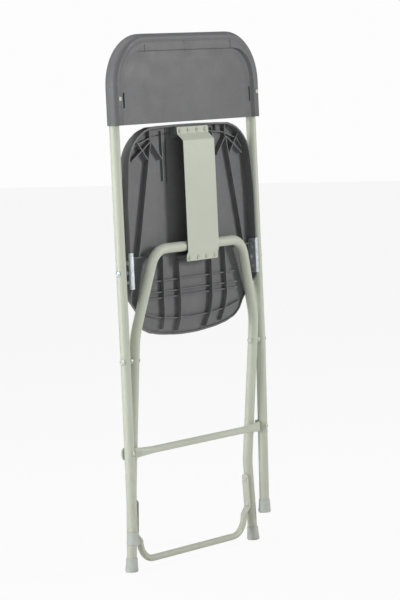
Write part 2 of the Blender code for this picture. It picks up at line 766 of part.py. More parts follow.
def rib(name, places, edge):
    """A thin wall that stands on the underside along (x, z) places; `edge` gives its front."""
    maker = bmesh.new()
    rings = []
    for i, (x, z) in enumerate(places):
        before = Vector(places[max(i - 1, 0)])
        after = Vector(places[min(i + 1, len(places) - 1)])
        direction = (after - before).normalized()
        across = Vector((direction.y, 0, -direction.x)) * RIB_THICK / 2
        foot = under(x, z) + SEAT_SKIN * 0.5
        front = edge(x, z)
        rings.append(
            [
                at(x, foot, z) + across,
                at(x, foot, z) - across,
                at(x, front, z) - across,
                at(x, front, z) + across,
            ]
        )
    bridge_rings(maker, rings)
    return add_helper("rib_" + name, maker)


def seat_ribs():
    """The ribs of one half of the seat, as (x, z) places from front to rear."""
    top, low, pivot, half = SEAT_TOP_Z, SEAT_LOW_Z, SEAT_PIVOT_Z, SEAT_HALF
    node = (half - 0.082, top - 0.030)
    return {
        "long": [node, (half - 0.073, top - 0.068), (half - 0.053, top - 0.152), (half - 0.034, pivot + 0.028)],
        "fan_out": [node, (half - 0.026, top - 0.064)],
        "fan_in": [node, (half - 0.113, top - 0.065)],
        "rear_out": [(half / 2, pivot + 0.020), (half / 2, low + 0.060), (half / 2 - 0.006, low + 0.024)],
        "rear_in": [(half / 4, pivot + 0.006), (half / 4, low + 0.050), (half / 4 - 0.005, low + 0.016)],
    }


def make_seat(finish):
    maker = bmesh.new()
    bridge_rings(maker, seat_shell_rings())
    seat = add_object("seat_shell", maker, finish["plastic"])

    def shallow(x, z):
        return RIB_FRONT

    def lower(x, z):
        return under(x, z) - 0.0095

    for label, places in seat_ribs().items():
        edge = lower if label.startswith("rear") else shallow
        for side in (-1, 1):
            combine(seat, rib(f"{label}_{side}", [(side * x, z) for x, z in places], edge), "UNION")
    for i, z in enumerate((SEAT_PIVOT_Z - 0.023, SEAT_PIVOT_Z - 0.055, SEAT_LOW_Z + 0.042)):
        places = [(-0.128 + 0.032 * k, z + 0.003 * (k / 2 - 2) ** 2 / 4) for k in range(9)]
        combine(seat, rib(f"cross_{i}", places, lambda x, y: under(x, y) - 0.008), "UNION")
    combine(seat, add_helper("front_pad", front_pad()), "UNION")
    combine(seat, add_helper("rear_boss", rear_boss()), "UNION")
    for x, z, front in screw_places():
        drill(seat, f"screw_seat_{x:.3f}_{z:.3f}", at(x, front - 0.002, z), at(x, screw_tip(front) + TOUCH, z), SCREW + 2 * TOUCH)
    for side in (-1, 1):
        for z in (SEAT_PIVOT_Z - BRACKET_RIVET_PITCH, SEAT_PIVOT_Z, SEAT_PIVOT_Z + BRACKET_RIVET_PITCH):
            pivot = z == SEAT_PIVOT_Z
            y = 0 if pivot else bracket_rivet_y()
            hole = (PIN if pivot else BRACKET_RIVET) + 2 * TOUCH
            span = (at(side * (SEAT_HALF - 0.01), y, z), at(side * (SEAT_HALF + 0.01), y, z))
            drill(seat, f"rim_{side}_{z:.3f}", *span, hole)
    set_origin(seat, at(0, 0, SEAT_PIVOT_Z))


def front_pad():
    """The block near the seat's front edge that the channel is screwed to."""
    low = at(-CHANNEL_HALF - 0.001, -FRONT_PAD_FRONT, CHANNEL_NECK_Z + CHANNEL_JOGGLE)
    high = at(CHANNEL_HALF + 0.001, PANEL_BACK + SEAT_SKIN * 0.6, CHANNEL_TOP_Z + 0.001)
    return box(low, high)


def rear_boss():
    """The block below the folded crossbar that holds the channel's rear end off the panel."""
    top = CROSSBAR_Z - TUBE / 2 - 2 * SLIDE
    front = CHANNEL_INSIDE + CHANNEL_TAIL_BACK + TOUCH
    low = at(-CHANNEL_HALF + 0.001, front, CHANNEL_LOW_Z)
    high = at(CHANNEL_HALF - 0.001, PANEL_BACK + SEAT_SKIN * 0.6, top - CHANNEL_TAIL_JOGGLE)
    return box(low, high)


def make_brackets(finish):
    """A sheet bent to a U over the rim of the seat at each seat pivot."""
    inner_face = SEAT_HALF - SEAT_RIM_WALL - TOUCH
    outer_face = SEAT_HALF + TOUCH
    sheet = BRACKET_SHEET
    front = -SEAT_RIM_FRONT - TOUCH
    outer_back, inner_back = front + BRACKET_LIP, 0.0040
    section = [
        (inner_face - sheet, inner_back),
        (inner_face - sheet, front - sheet),
        (outer_face + sheet, front - sheet),
        (outer_face + sheet, outer_back),
        (outer_face, outer_back),
        (outer_face, front),
        (inner_face, front),
        (inner_face, inner_back),
    ]
    for side, word in ((-1, "left"), (1, "right")):
        maker = bmesh.new()
        rings = [
            [at(side * x, y, z) for x, y in section]
            for z in (SEAT_PIVOT_Z - BRACKET_DOWN, SEAT_PIVOT_Z + BRACKET_UP)
        ]
        bridge_rings(maker, rings)
        bracket = add_object(f"seat_bracket_{word}", maker, finish["zinc"])
        span = (side * (SEAT_HALF - 0.02), side * (SEAT_HALF + 0.02))
        hole = (at(span[0], 0, SEAT_PIVOT_Z), at(span[1], 0, SEAT_PIVOT_Z))
        drill(bracket, f"bracket_pivot_{word}", *hole, PIN + 2 * TOUCH)
        for label, z in (("upper", BRACKET_RIVET_PITCH), ("lower", -BRACKET_RIVET_PITCH)):
            z += SEAT_PIVOT_Z
            y = bracket_rivet_y()
            drill(bracket, f"bracket_{word}_{label}", at(span[0], y, z), at(span[1], y, z), BRACKET_RIVET + 2 * TOUCH)
            start = at(side * (inner_face - sheet - TOUCH), y, z)
            end = at(side * outer_face, y, z)
            rivet(f"bracket_rivet_{word}_{label}", start, end, BRACKET_RIVET, 0.0072, 0.0011, finish["zinc"])


def bracket_rivet_y():
    return BRACKET_LIP - SEAT_RIM_FRONT + 0.0036


def make_seat_pivots(finish):
    for side, word in ((-1, "left"), (1, "right")):
        leg = leg_half(SEAT_PIVOT_Z)
        outer = at(side * (leg + TUBE / 2 + TOUCH), 0, SEAT_PIVOT_Z)
        inner_x = SEAT_HALF - SEAT_RIM_WALL - 2 * TOUCH - BRACKET_SHEET
        inner = at(side * inner_x, 0, SEAT_PIVOT_Z)
        rivet(f"seat_pivot_rivet_{word}", outer, inner, PIN, 0.0105, PIN_HEAD_THICK, finish["zinc"])
        gap = (SEAT_HALF + TOUCH, leg - TUBE / 2 - TOUCH)
        washer(f"seat_pivot_washer_{word}", side, gap, 0, SEAT_PIVOT_Z, 0.013, finish)


# ---------------------------------------------------------------- slide channel


def screw_places():
    """(x, z, front face of the sheet) of each screw."""
    row_z = (CHANNEL_NECK_Z + CHANNEL_JOGGLE + CHANNEL_TOP_Z) / 2
    places = [SCREW_PITCH * (i - (ROW_SCREWS - 1) / 2) for i in range(ROW_SCREWS)]
    pad = -FRONT_PAD_FRONT - TOUCH - CHANNEL_SHEET
    boss_z = CHANNEL_LOW_Z + SCREW_HEAD / 2 + 0.001
    tail = CHANNEL_OUTSIDE + CHANNEL_TAIL_BACK
    return [(x, row_z, pad) for x in places] + [(x, boss_z, tail) for x in places]


def screw_tip(front):
    return front + 0.0125


def make_channel(finish):
    """A strap with an offset at the front end; the crossbar slides between it and the seat."""
    pad = -FRONT_PAD_FRONT - TOUCH
    sheet = CHANNEL_SHEET
    tail_z = CROSSBAR_Z - TUBE / 2 - 2 * SLIDE
    line = [
        (CHANNEL_INSIDE + CHANNEL_TAIL_BACK, CHANNEL_LOW_Z),
        (CHANNEL_INSIDE + CHANNEL_TAIL_BACK, tail_z - CHANNEL_TAIL_JOGGLE),
        (CHANNEL_INSIDE, tail_z),
        (CHANNEL_INSIDE, CHANNEL_NECK_Z),
        (pad, CHANNEL_NECK_Z + CHANNEL_JOGGLE),
        (pad, CHANNEL_TOP_Z),
    ]
    section = line + [(y - sheet, z) for y, z in reversed(line)]
    maker = bmesh.new()
    rings = [[at(x, y, z) for y, z in section] for x in (-CHANNEL_HALF, CHANNEL_HALF)]
    bridge_rings(maker, rings)
    channel = add_object("slide_channel", maker, finish["paint"])
    for i, (x, z, front) in enumerate(screw_places()):
        drill(channel, f"screw_channel_{i}", at(x, front - 0.005, z), at(x, front + 0.005, z), SCREW + 2 * TOUCH)
        head = SCREW_HEAD / 2
        thick = SCREW_HEAD_THICK
        profile = [
            (0, -thick),
            (head * 0.55, -thick),
            (head * 0.9, -thick * 0.5),
            (head, 0),
            (SCREW / 2, 0),
            (SCREW / 2, screw_tip(front) - front),
            (0, screw_tip(front) - front),
        ]
        base = at(x, front - TOUCH, z)
        add_object(f"channel_screw_{i + 1}", turned(base, Vector((0, 1, 0)), profile), finish["paint"])


# ---------------------------------------------------------------- the chair


def parent_to_joints():
    """Hangs the moving pieces on two empties that stand on their joint axes."""
    moving = {
        "rear_legs_joint": (LEG_PIVOT_Z, ("rear_",), ("loop_rivet",)),
        "seat_joint": (SEAT_PIVOT_Z, ("seat_shell", "seat_bracket"), ("bracket_rivet", "slide_", "channel_screw")),
    }
    for name, (z, first, second) in moving.items():
        empty = bpy.data.objects.new(name, None)
        empty.location = at(0, 0, z)
        bpy.context.scene.collection.objects.link(empty)
        for piece in bpy.context.scene.collection.objects:
            if piece.type == "MESH" and not piece.hide_render and piece.name.startswith(first + second):
                piece.parent = empty
                piece.location -= empty.location


def main():
    for old in list(bpy.data.objects):
        bpy.data.objects.remove(old, do_unlink=True)
    finish = make_materials()
    make_back_frame(finish)
    make_front_caps(finish)
    make_stretcher(finish)
    make_backrest(finish)
    make_rear_frame(finish)
    make_rear_caps(finish)
    make_loop(finish)
    make_leg_pivots(finish)
    make_seat(finish)
    make_brackets(finish)
    make_seat_pivots(finish)
    make_channel(finish)
    parent_to_joints()


main()
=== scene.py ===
"""A folding chair, folded flat and stood on end: painted tube frame, plastic seat and backrest."""

import json
import math

import bmesh
import bpy
from mathutils import Matrix, Vector


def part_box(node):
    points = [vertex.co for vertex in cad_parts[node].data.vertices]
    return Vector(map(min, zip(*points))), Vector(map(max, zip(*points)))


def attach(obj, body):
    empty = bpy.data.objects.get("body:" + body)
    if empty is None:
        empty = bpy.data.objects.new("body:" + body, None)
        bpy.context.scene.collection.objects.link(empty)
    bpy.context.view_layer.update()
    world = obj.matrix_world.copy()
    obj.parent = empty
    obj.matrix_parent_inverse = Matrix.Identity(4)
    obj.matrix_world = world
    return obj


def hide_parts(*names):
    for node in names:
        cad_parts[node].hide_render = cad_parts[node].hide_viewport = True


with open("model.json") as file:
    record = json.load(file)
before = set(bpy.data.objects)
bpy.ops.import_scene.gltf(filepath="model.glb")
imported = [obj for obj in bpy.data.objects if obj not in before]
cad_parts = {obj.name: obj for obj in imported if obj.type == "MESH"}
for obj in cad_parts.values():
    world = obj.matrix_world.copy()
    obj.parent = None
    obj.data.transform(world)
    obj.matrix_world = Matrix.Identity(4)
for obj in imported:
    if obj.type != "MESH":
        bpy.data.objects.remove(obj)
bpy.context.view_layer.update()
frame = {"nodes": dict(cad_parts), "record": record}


# ---------------------------------------------------------------- camera, floor and lights


def middle_of(node):
    low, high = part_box(node)
    return (Vector(low) + Vector(high)) / 2


FRAME_Y = middle_of("seat_pivot_rivet_left").y
SEAT_PIVOT = middle_of("seat_pivot_rivet_left").z
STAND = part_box("front_foot_cap_left")[0][2]

CAMERA_AZIMUTH = math.radians(-53.0)
CAMERA_ELEVATION = math.radians(4.54)
CAMERA_ROLL = math.radians(-2.68)
CAMERA_DISTANCE = 5.5005
CAMERA_LENS = 173.2758
CAMERA_SENSOR = 36.0
CAMERA_SHIFT = (0.0107167, 0.0064667)
TARGET = Vector((0.00177, FRAME_Y, 0.43207 + STAND))

BACKDROP = 0.98  # brightness of the floor and the wall as the camera sees them
FLOOR_GLOW = 0.93  # share of the floor that shows so, the rest being lit
SKY = 0.24
LIT_HEIGHT = (0, 0, 0.6)


def add_camera():
    a, e, r = CAMERA_AZIMUTH, CAMERA_ELEVATION, CAMERA_ROLL
    forward = Vector((-math.sin(a) * math.cos(e), math.cos(a) * math.cos(e), -math.sin(e)))
    level = Vector((math.cos(a), math.sin(a), 0))
    up = level.cross(forward)
    right = level * math.cos(r) + up * math.sin(r)
    over = up * math.cos(r) - level * math.sin(r)
    data = bpy.data.cameras.new("camera")
    data.sensor_fit = "VERTICAL"
    data.sensor_height = CAMERA_SENSOR
    data.lens = CAMERA_LENS
    data.shift_x, data.shift_y = CAMERA_SHIFT
    camera = bpy.data.objects.new("camera", data)
    turn = Matrix((right, over, -forward)).transposed()
    camera.matrix_world = Matrix.Translation(TARGET - forward * CAMERA_DISTANCE) @ turn.to_4x4()
    bpy.context.scene.collection.objects.link(camera)
    bpy.context.scene.camera = camera


def add_light(name, place, aim, size, power, colour=(1, 1, 1)):
    data = bpy.data.lights.new(name, "AREA")
    data.shape = "RECTANGLE"
    data.size, data.size_y = size
    data.energy = power
    data.color = colour
    lamp = bpy.data.objects.new(name, data)
    lamp.location = place
    lamp.rotation_euler = (Vector(aim) - Vector(place)).to_track_quat("-Z", "Y").to_euler()
    bpy.context.scene.collection.objects.link(lamp)


def deselect():
    if bpy.context.mode != "OBJECT":
        bpy.ops.object.mode_set(mode="OBJECT")
    bpy.ops.object.select_all(action="DESELECT")


def add_floor():
    deselect()
    bpy.ops.mesh.primitive_plane_add(size=30, location=(0, 0, 0))
    floor = bpy.context.object
    floor.name = "floor"
    paper = bpy.data.materials.new("floor_paper")
    paper.use_nodes = True
    shader = paper.node_tree.nodes["Principled BSDF"]
    shader.inputs["Base Color"].default_value = (0.92, 0.92, 0.92, 1)
    shader.inputs["Roughness"].default_value = 0.9
    tree = paper.node_tree
    lit = tree.nodes.new("ShaderNodeEmission")
    lit.inputs["Strength"].default_value = BACKDROP
    rays = tree.nodes.new("ShaderNodeLightPath")
    share = tree.nodes.new("ShaderNodeMath")
    share.operation = "MULTIPLY"
    share.inputs[1].default_value = FLOOR_GLOW
    either = tree.nodes.new("ShaderNodeMixShader")
    tree.links.new(rays.outputs["Is Camera Ray"], share.inputs[0])
    tree.links.new(share.outputs["Value"], either.inputs["Fac"])
    tree.links.new(shader.outputs["BSDF"], either.inputs[1])
    tree.links.new(lit.outputs["Emission"], either.inputs[2])
    tree.links.new(either.outputs["Shader"], tree.nodes["Material Output"].inputs["Surface"])
    floor.data.materials.append(paper)


def add_world():
    world = bpy.data.worlds.new("studio")
    world.use_nodes = True
    back = world.node_tree.nodes["Background"]
    back.inputs["Color"].default_value = (1, 1, 1, 1)
    back.inputs["Strength"].default_value = SKY
    tree = world.node_tree
    seen = tree.nodes.new("ShaderNodeBackground")
    seen.inputs["Color"].default_value = (1, 1, 1, 1)
    seen.inputs["Strength"].default_value = BACKDROP
    rays = tree.nodes.new("ShaderNodeLightPath")
    either = tree.nodes.new("ShaderNodeMixShader")
    tree.links.new(rays.outputs["Is Camera Ray"], either.inputs["Fac"])
    tree.links.new(back.outputs["Background"], either.inputs[1])
    tree.links.new(seen.outputs["Background"], either.inputs[2])
    tree.links.new(either.outputs["Shader"], tree.nodes["World Output"].inputs["Surface"])
    bpy.context.scene.world = world


add_camera()
add_floor()
add_world()
add_light("key", (2.6, -3.4, 1.7), LIT_HEIGHT, (1.0, 1.4), 84)
add_light("fill", (-3.3, 0.9, 1.2), LIT_HEIGHT, (1.4, 2.4), 72)
add_light("front", (-2.4, -3.4, 1.2), LIT_HEIGHT, (2.0, 2.4), 10)
add_light("top", (-0.6, 0.6, 3.6), (-0.6, 0.6, 0), (3.4, 3.4), 60)
bpy.context.scene.view_settings.view_transform = "Standard"


# ---------------------------------------------------------------- materials


class Finish:
    """A Principled material and a few short words for its nodes."""

    def __init__(self, name, roughness, metallic=0.0):
        self.made = bpy.data.materials.new(name)
        self.made.use_nodes = True
        self.tree = self.made.node_tree
        self.shader = self.tree.nodes["Principled BSDF"]
        self.shader.inputs["Roughness"].default_value = roughness
        self.shader.inputs["Metallic"].default_value = metallic
        self.place = self.node("ShaderNodeTexCoord").outputs["Object"]

    def node(self, kind, **settings):
        made = self.tree.nodes.new(kind)
        for key, value in settings.items():
            setattr(made, key, value)
        return made

    def link(self, start, end):
        self.tree.links.new(start, end)

    def noise(self, scale, detail=3.0, rough=0.5, stretch=None):
        made = self.node("ShaderNodeTexNoise")
        made.inputs["Scale"].default_value = scale
        made.inputs["Detail"].default_value = detail
        made.inputs["Roughness"].default_value = rough
        source = self.place
        if stretch:
            mapping = self.node("ShaderNodeMapping")
            mapping.inputs["Scale"].default_value = stretch
            self.link(self.place, mapping.inputs["Vector"])
            source = mapping.outputs["Vector"]
        self.link(source, made.inputs["Vector"])
        return made.outputs["Fac"]

    def cells(self, scale, output="Distance"):
        made = self.node("ShaderNodeTexVoronoi")
        made.inputs["Scale"].default_value = scale
        self.link(self.place, made.inputs["Vector"])
        return made.outputs[output]

    def ramp(self, source, stops):
        made = self.node("ShaderNodeValToRGB")
        ramp = made.color_ramp
        while len(ramp.elements) < len(stops):
            ramp.elements.new(0.5)
        for element, (position, colour) in zip(ramp.elements, stops):
            element.position = position
            element.color = (*colour, 1) if len(colour) == 3 else (colour[0],) * 3 + (1,)
        self.link(source, made.inputs["Fac"])
        return made.outputs["Color"]

    def mix(self, share, first, second, blend="MIX"):
        made = self.node("ShaderNodeMix", data_type="RGBA", blend_type=blend)
        for source, socket in ((share, made.inputs[0]), (first, made.inputs[6]), (second, made.inputs[7])):
            if isinstance(source, (int, float)):
                socket.default_value = source
            elif isinstance(source, tuple):
                socket.default_value = (*source, 1)
            else:
                self.link(source, socket)
        return made.outputs[2]

    def height(self):
        made = self.node("ShaderNodeSeparateXYZ")
        self.link(self.place, made.inputs["Vector"])
        return made.outputs["Z"]

    def range(self, source, low, high, to_low=0.0, to_high=1.0):
        made = self.node("ShaderNodeMapRange")
        for socket, value in zip(("From Min", "From Max", "To Min", "To Max"), (low, high, to_low, to_high)):
            made.inputs[socket].default_value = value
        self.link(source, made.inputs["Value"])
        return made.outputs["Result"]

    def maths(self, operation, first, second):
        made = self.node("ShaderNodeMath", operation=operation)
        for source, socket in ((first, made.inputs[0]), (second, made.inputs[1])):
            if isinstance(source, (int, float)):
                socket.default_value = source
            else:
                self.link(source, socket)
        return made.outputs["Value"]

    def colour(self, source):
        self.link(source, self.shader.inputs["Base Color"])

    def gloss(self, source):
        self.link(source, self.shader.inputs["Roughness"])

    def bump(self, source, depth, strength=1.0):
        made = self.node("ShaderNodeBump")
        made.inputs["Distance"].default_value = depth
        made.inputs["Strength"].default_value = strength
        self.link(source, made.inputs["Height"])
        normal = self.shader.inputs["Normal"]
        if normal.is_linked:
            self.link(normal.links[0].from_socket, made.inputs["Normal"])
        self.link(made.outputs["Normal"], normal)


def sage_paint():
    """Baked enamel on steel: faint orange peel, a little grime low down and fine scuffs."""
    paint = Finish("sage_paint", 0.42)
    tone = paint.ramp(
        paint.noise(6, 4), [(0.3, (0.520, 0.548, 0.452)), (0.7, (0.572, 0.598, 0.498))]
    )
    grime = paint.maths("MULTIPLY", paint.range(paint.height(), 0.30, 0.0), paint.noise(34, 6, 0.6))
    tone = paint.mix(paint.maths("MULTIPLY", grime, 0.55), tone, (0.30, 0.285, 0.235))
    scuff = paint.ramp(paint.noise(210, 3, 0.6, (1, 1, 0.12)), [(0.70, (0,)), (0.76, (1,))])
    where = paint.ramp(paint.noise(9, 2), [(0.50, (0,)), (0.60, (1,))])
    worn = paint.maths("MULTIPLY", paint.maths("MULTIPLY", scuff, where), 0.5)
    paint.colour(paint.mix(worn, tone, (0.36, 0.35, 0.30)))
    paint.gloss(paint.range(paint.noise(40, 4), 0.3, 0.7, 0.36, 0.50))
    paint.bump(paint.noise(900, 2), 0.00012, 0.5)
    paint.bump(paint.noise(45, 3), 0.0003, 0.35)
    return paint.made


def dark_plastic():
    """Moulded polypropylene with a fine spark grain, dusty in patches and rubbed in others."""
    plastic = Finish("grained_plastic", 0.52)
    tone = plastic.ramp(
        plastic.noise(5, 5, 0.6), [(0.30, (0.118, 0.119, 0.123)), (0.72, (0.150, 0.151, 0.155))]
    )
    dust = plastic.ramp(plastic.noise(60, 6, 0.65), [(0.52, (0,)), (0.75, (1,))])
    tone = plastic.mix(plastic.maths("MULTIPLY", dust, 0.16), tone, (0.33, 0.33, 0.32))
    scratch = plastic.ramp(plastic.noise(260, 2, 0.5, (1, 1, 0.05)), [(0.72, (0,)), (0.77, (1,))])
    where = plastic.ramp(plastic.noise(7, 2), [(0.52, (0,)), (0.62, (1,))])
    marks = plastic.maths("MULTIPLY", plastic.maths("MULTIPLY", scratch, where), 0.25)
    plastic.colour(plastic.mix(marks, tone, (0.27, 0.27, 0.27)))
    plastic.gloss(plastic.range(plastic.noise(30, 5), 0.3, 0.7, 0.44, 0.60))
    plastic.bump(plastic.cells(1300), 0.00015, 0.45)
    plastic.bump(plastic.noise(700, 3), 0.00012, 0.4)
    return plastic.made


def galvanised():
    """Zinc plate with a small spangle and a dull bloom."""
    zinc = Finish("galvanised_sheet", 0.4, 0.85)
    spangle = zinc.cells(420, "Color")
    tone = zinc.ramp(spangle, [(0.0, (0.50, 0.56, 0.60)), (1.0, (0.72, 0.77, 0.80))])
    bloom = zinc.ramp(zinc.noise(90, 5, 0.65), [(0.50, (0,)), (0.72, (1,))])
    zinc.colour(zinc.mix(zinc.maths("MULTIPLY", bloom, 0.5), tone, (0.78, 0.80, 0.79)))
    zinc.gloss(zinc.range(spangle, 0.0, 1.0, 0.28, 0.50))
    zinc.bump(zinc.noise(500, 3), 0.0001, 0.4)
    return zinc.made


def rivet_steel():
    """Plated rivets under a worn coat of the frame's paint."""
    rivet = Finish("painted_rivet", 0.35, 0.35)
    worn = rivet.ramp(rivet.noise(420, 4, 0.6), [(0.45, (0,)), (0.60, (1,))])
    rivet.colour(rivet.mix(worn, (0.46, 0.48, 0.41), (0.66, 0.68, 0.64)))
    rivet.gloss(rivet.range(rivet.noise(300, 3), 0.3, 0.7, 0.26, 0.50))
    rivet.bump(rivet.noise(600, 3), 0.00012, 0.5)
    return rivet.made


def cap_plastic():
    """Soft grey plastic of the foot caps, scuffed and dirty in patches."""
    cap = Finish("cap_plastic", 0.6)
    tone = cap.ramp(cap.noise(70, 5, 0.6), [(0.3, (0.44, 0.47, 0.43)), (0.7, (0.52, 0.55, 0.51))])
    dirt = cap.ramp(cap.noise(140, 6, 0.7), [(0.45, (0,)), (0.7, (1,))])
    cap.colour(cap.mix(cap.maths("MULTIPLY", dirt, 0.30), tone, (0.24, 0.24, 0.21)))
    cap.gloss(cap.range(cap.noise(200, 3), 0.3, 0.7, 0.50, 0.72))
    cap.bump(cap.noise(600, 4), 0.0002, 0.5)
    return cap.made


PAINT = sage_paint()
PLASTIC = dark_plastic()
ZINC = galvanised()
CAP = cap_plastic()
RIVET = rivet_steel()
FINISHES = {"paint": PAINT, "plastic": PLASTIC, "zinc": ZINC, "cap": CAP}

slot_of = {entry["node"]: entry["material_slot"] for entry in frame["record"]["subparts"]}
for name, node in frame["nodes"].items():
    for slot in node.material_slots:
        painted = name.startswith(("leg_pivot", "loop_rivet", "stretcher_rivet"))
        slot.material = RIVET if painted else FINISHES[slot_of[name]]


# ---------------------------------------------------------------- modelling by hand


def place(x, y, z):
    """A point of the chair; y is measured from the back frame's centre line."""
    return Vector((x, y + FRAME_Y, z))


def finish_piece(piece, material, body, slot, *nodes, angle=35):
    """Settles a finished piece at the origin, gives it its material and hangs it on its body."""
    if piece.data.materials:
        piece.data.materials.clear()
    piece.data.materials.append(material)
    deselect()
    piece.select_set(True)
    bpy.context.view_layer.objects.active = piece
    bpy.ops.object.transform_apply(location=True, rotation=True, scale=True)
    bpy.ops.object.shade_smooth_by_angle(angle=math.radians(angle))
    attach(piece, body)
    if nodes:
        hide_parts(*nodes)
    return piece


def cube(name, low, high):
    """A cube primitive at its size and place, its scale applied."""
    deselect()
    low, high = Vector(map(min, low, high)), Vector(map(max, low, high))
    bpy.ops.mesh.primitive_cube_add(size=1, location=(low + high) / 2)
    made = bpy.context.object
    made.name = name
    made.scale = high - low
    bpy.ops.object.transform_apply(location=True, rotation=True, scale=True)
    return made


def cylinder(name, start, end, radius, sides=32):
    """A cylinder primitive from one point to another."""
    deselect()
    start, end = Vector(start), Vector(end)
    axis = end - start
    turn = axis.to_track_quat("Z", "Y").to_euler()
    middle = (start + end) / 2
    bpy.ops.mesh.primitive_cylinder_add(
        vertices=sides, radius=radius, depth=axis.length, location=middle, rotation=turn
    )
    made = bpy.context.object
    made.name = name
    bpy.ops.object.transform_apply(location=True, rotation=True, scale=True)
    return made


def edit(piece):
    deselect()
    piece.select_set(True)
    bpy.context.view_layer.objects.active = piece
    bpy.ops.object.mode_set(mode="EDIT")
    bpy.ops.mesh.select_all(action="DESELECT")


def done():
    bpy.ops.object.mode_set(mode="OBJECT")


def choose(kind, test):
    """Selects the faces, edges or vertices of the piece in edit mode that pass a test."""
    bpy.ops.mesh.select_mode(type=kind)
    bpy.ops.mesh.select_all(action="DESELECT")
    shape = bmesh.from_edit_mesh(bpy.context.object.data)
    found = {"VERT": shape.verts, "EDGE": shape.edges, "FACE": shape.faces}[kind]
    for item in found:
        item.select = test(item)
    shape.select_flush_mode()
    bmesh.update_edit_mesh(bpy.context.object.data)


NEAR = 1e-4  # places this close count as one
EXACT = 1e-5


def span(edge, axis):
    """How far an edge reaches along an axis."""
    return abs(getattr(edge.verts[0].co - edge.verts[1].co, axis))


def near_one(value, others):
    """Whether a value lies at one of several."""
    return min(abs(value - other) for other in others) < NEAR


def runs_through(edge):
    """Whether an edge runs through the sheet from front to back."""
    return span(edge, "y") > 0.001 and span(edge, "x") < EXACT and span(edge, "z") < EXACT


def at(vertex, x, z):
    """Whether a vertex lies at this height and this far from the middle, on either side."""
    return abs(abs(vertex.co.x) - x) < NEAR and abs(vertex.co.z - z) < NEAR


def bevel_chosen(width, segments=3):
    bpy.ops.mesh.bevel(offset=width, segments=segments, affect="EDGES", clamp_overlap=True)


def cut_across(axis, position):
    """Bisects the whole piece across an axis."""
    normal = {"X": (1, 0, 0), "Y": (0, 1, 0), "Z": (0, 0, 1)}[axis]
    point = [0, 0, 0]
    point["XYZ".index(axis)] = position
    bpy.ops.mesh.select_all(action="SELECT")
    bpy.ops.mesh.bisect(plane_co=point, plane_no=normal)


def modify(piece, kind, **settings):
    """Adds a modifier and applies it."""
    deselect()
    piece.select_set(True)
    bpy.context.view_layer.objects.active = piece
    modifier = piece.modifiers.new(kind.lower(), kind)
    for key, value in settings.items():
        setattr(modifier, key, value)
    bpy.ops.object.modifier_apply(modifier=modifier.name)


def boolean(piece, other, operation):
    modify(piece, "BOOLEAN", operation=operation, object=other, solver="EXACT")
    bpy.data.objects.remove(other, do_unlink=True)


# ---------------------------------------------------------------- seat

SEAT_LOW_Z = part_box("seat_shell")[0][2]
SEAT_TOP_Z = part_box("seat_shell")[1][2]
SEAT_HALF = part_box("seat_shell")[1][0]
SITTING = 0.0025  # the sitting side behind the pivots
SKIN = 0.0035
RIM_FRONT = -0.0118
LIP = 0.004  # the edge as it is first turned down
CORNER = 0.060
REAR_ARC, TAPER_END = 0.030, 0.095  # above the rear edge: where its arc and its taper end
REAR_HALF, REAR_SWELL = 0.118, 0.0435
SIDE_RISE, REAR_RISE = 0.0070, 0.022
RISE_FROM_Z = 0.503
FADE_LOW, FADE_HIGH = 0.488, 0.530  # where the rear legs cross the rim
FADED_RIM = 0.0060


def blended(points, z):
    """The value at z on a line through (z, value) points."""
    for (z0, a), (z1, b) in zip(points, points[1:]):
        if z <= z1:
            share = min(max((z - z0) / (z1 - z0), 0.0), 1.0)
            return a + (b - a) * share
    return points[-1][1]


def seat_half_width(z):
    """Half the seat's width: tapered behind the pivots, square in the middle, round in front."""
    behind = z - SEAT_LOW_Z
    if behind < TAPER_END:
        if behind < REAR_ARC:
            return REAR_HALF + REAR_SWELL * math.sqrt(max(0.0, 1 - (1 - behind / REAR_ARC) ** 2))
        return blended([(REAR_ARC, 0.1615), (0.085, 0.1990), (TAPER_END, SEAT_HALF)], behind)
    above = max(0.0, z - (SEAT_TOP_Z - CORNER - 0.002))
    ahead = SEAT_TOP_Z - z
    straight = blended([(-0.135, -SEAT_HALF), (-0.060, -0.1915), (0, -0.182)], -ahead)
    return -straight - CORNER + math.sqrt(max(CORNER**2 - above**2, 0.0))


def side_rise(x):
    return SIDE_RISE * min(abs(x) / SEAT_HALF, 1.0) ** 3


def seat_rise(x, z):
    """How far the dished seat lies behind its flat place."""
    rear = max(0.0, (RISE_FROM_Z - z) / (RISE_FROM_Z - SEAT_LOW_Z + 0.009))
    return side_rise(x) + REAR_RISE * rear**2


def rim_depth(x, z):
    """The rim's height in front of the sitting side; it fades where the rear legs cross it."""
    share = min(max((z - FADE_LOW) / (FADE_HIGH - FADE_LOW), 0.0), 1.0)
    share = share * share * (3 - 2 * share)
    full = SITTING - RIM_FRONT + side_rise(x)
    return FADED_RIM + (full - FADED_RIM) * share


def in_cage(piece, counts, shift):
    """Bends a piece with a lattice as large as the seat; shift gives each point's (y, z) move."""
    deselect()
    size = (2 * SEAT_HALF, 0.08, SEAT_TOP_Z - SEAT_LOW_Z)
    centre = place(0, 0, (SEAT_TOP_Z + SEAT_LOW_Z) / 2)
    bpy.ops.object.add(type="LATTICE", location=centre)
    cage = bpy.context.object
    cage.scale = size
    cage.data.points_u, cage.data.points_v, cage.data.points_w = counts
    for way in ("u", "v", "w"):
        setattr(cage.data, "interpolation_type_" + way, "KEY_CARDINAL")
    for point in cage.data.points:
        move = shift(point.co.x * size[0], point.co.z * size[2] + centre.z)
        point.co_deform.y += move[0] / size[1]
        point.co_deform.z += move[1] / size[2]
    modify(piece, "LATTICE", object=cage)
    bpy.data.objects.remove(cage, do_unlink=True)


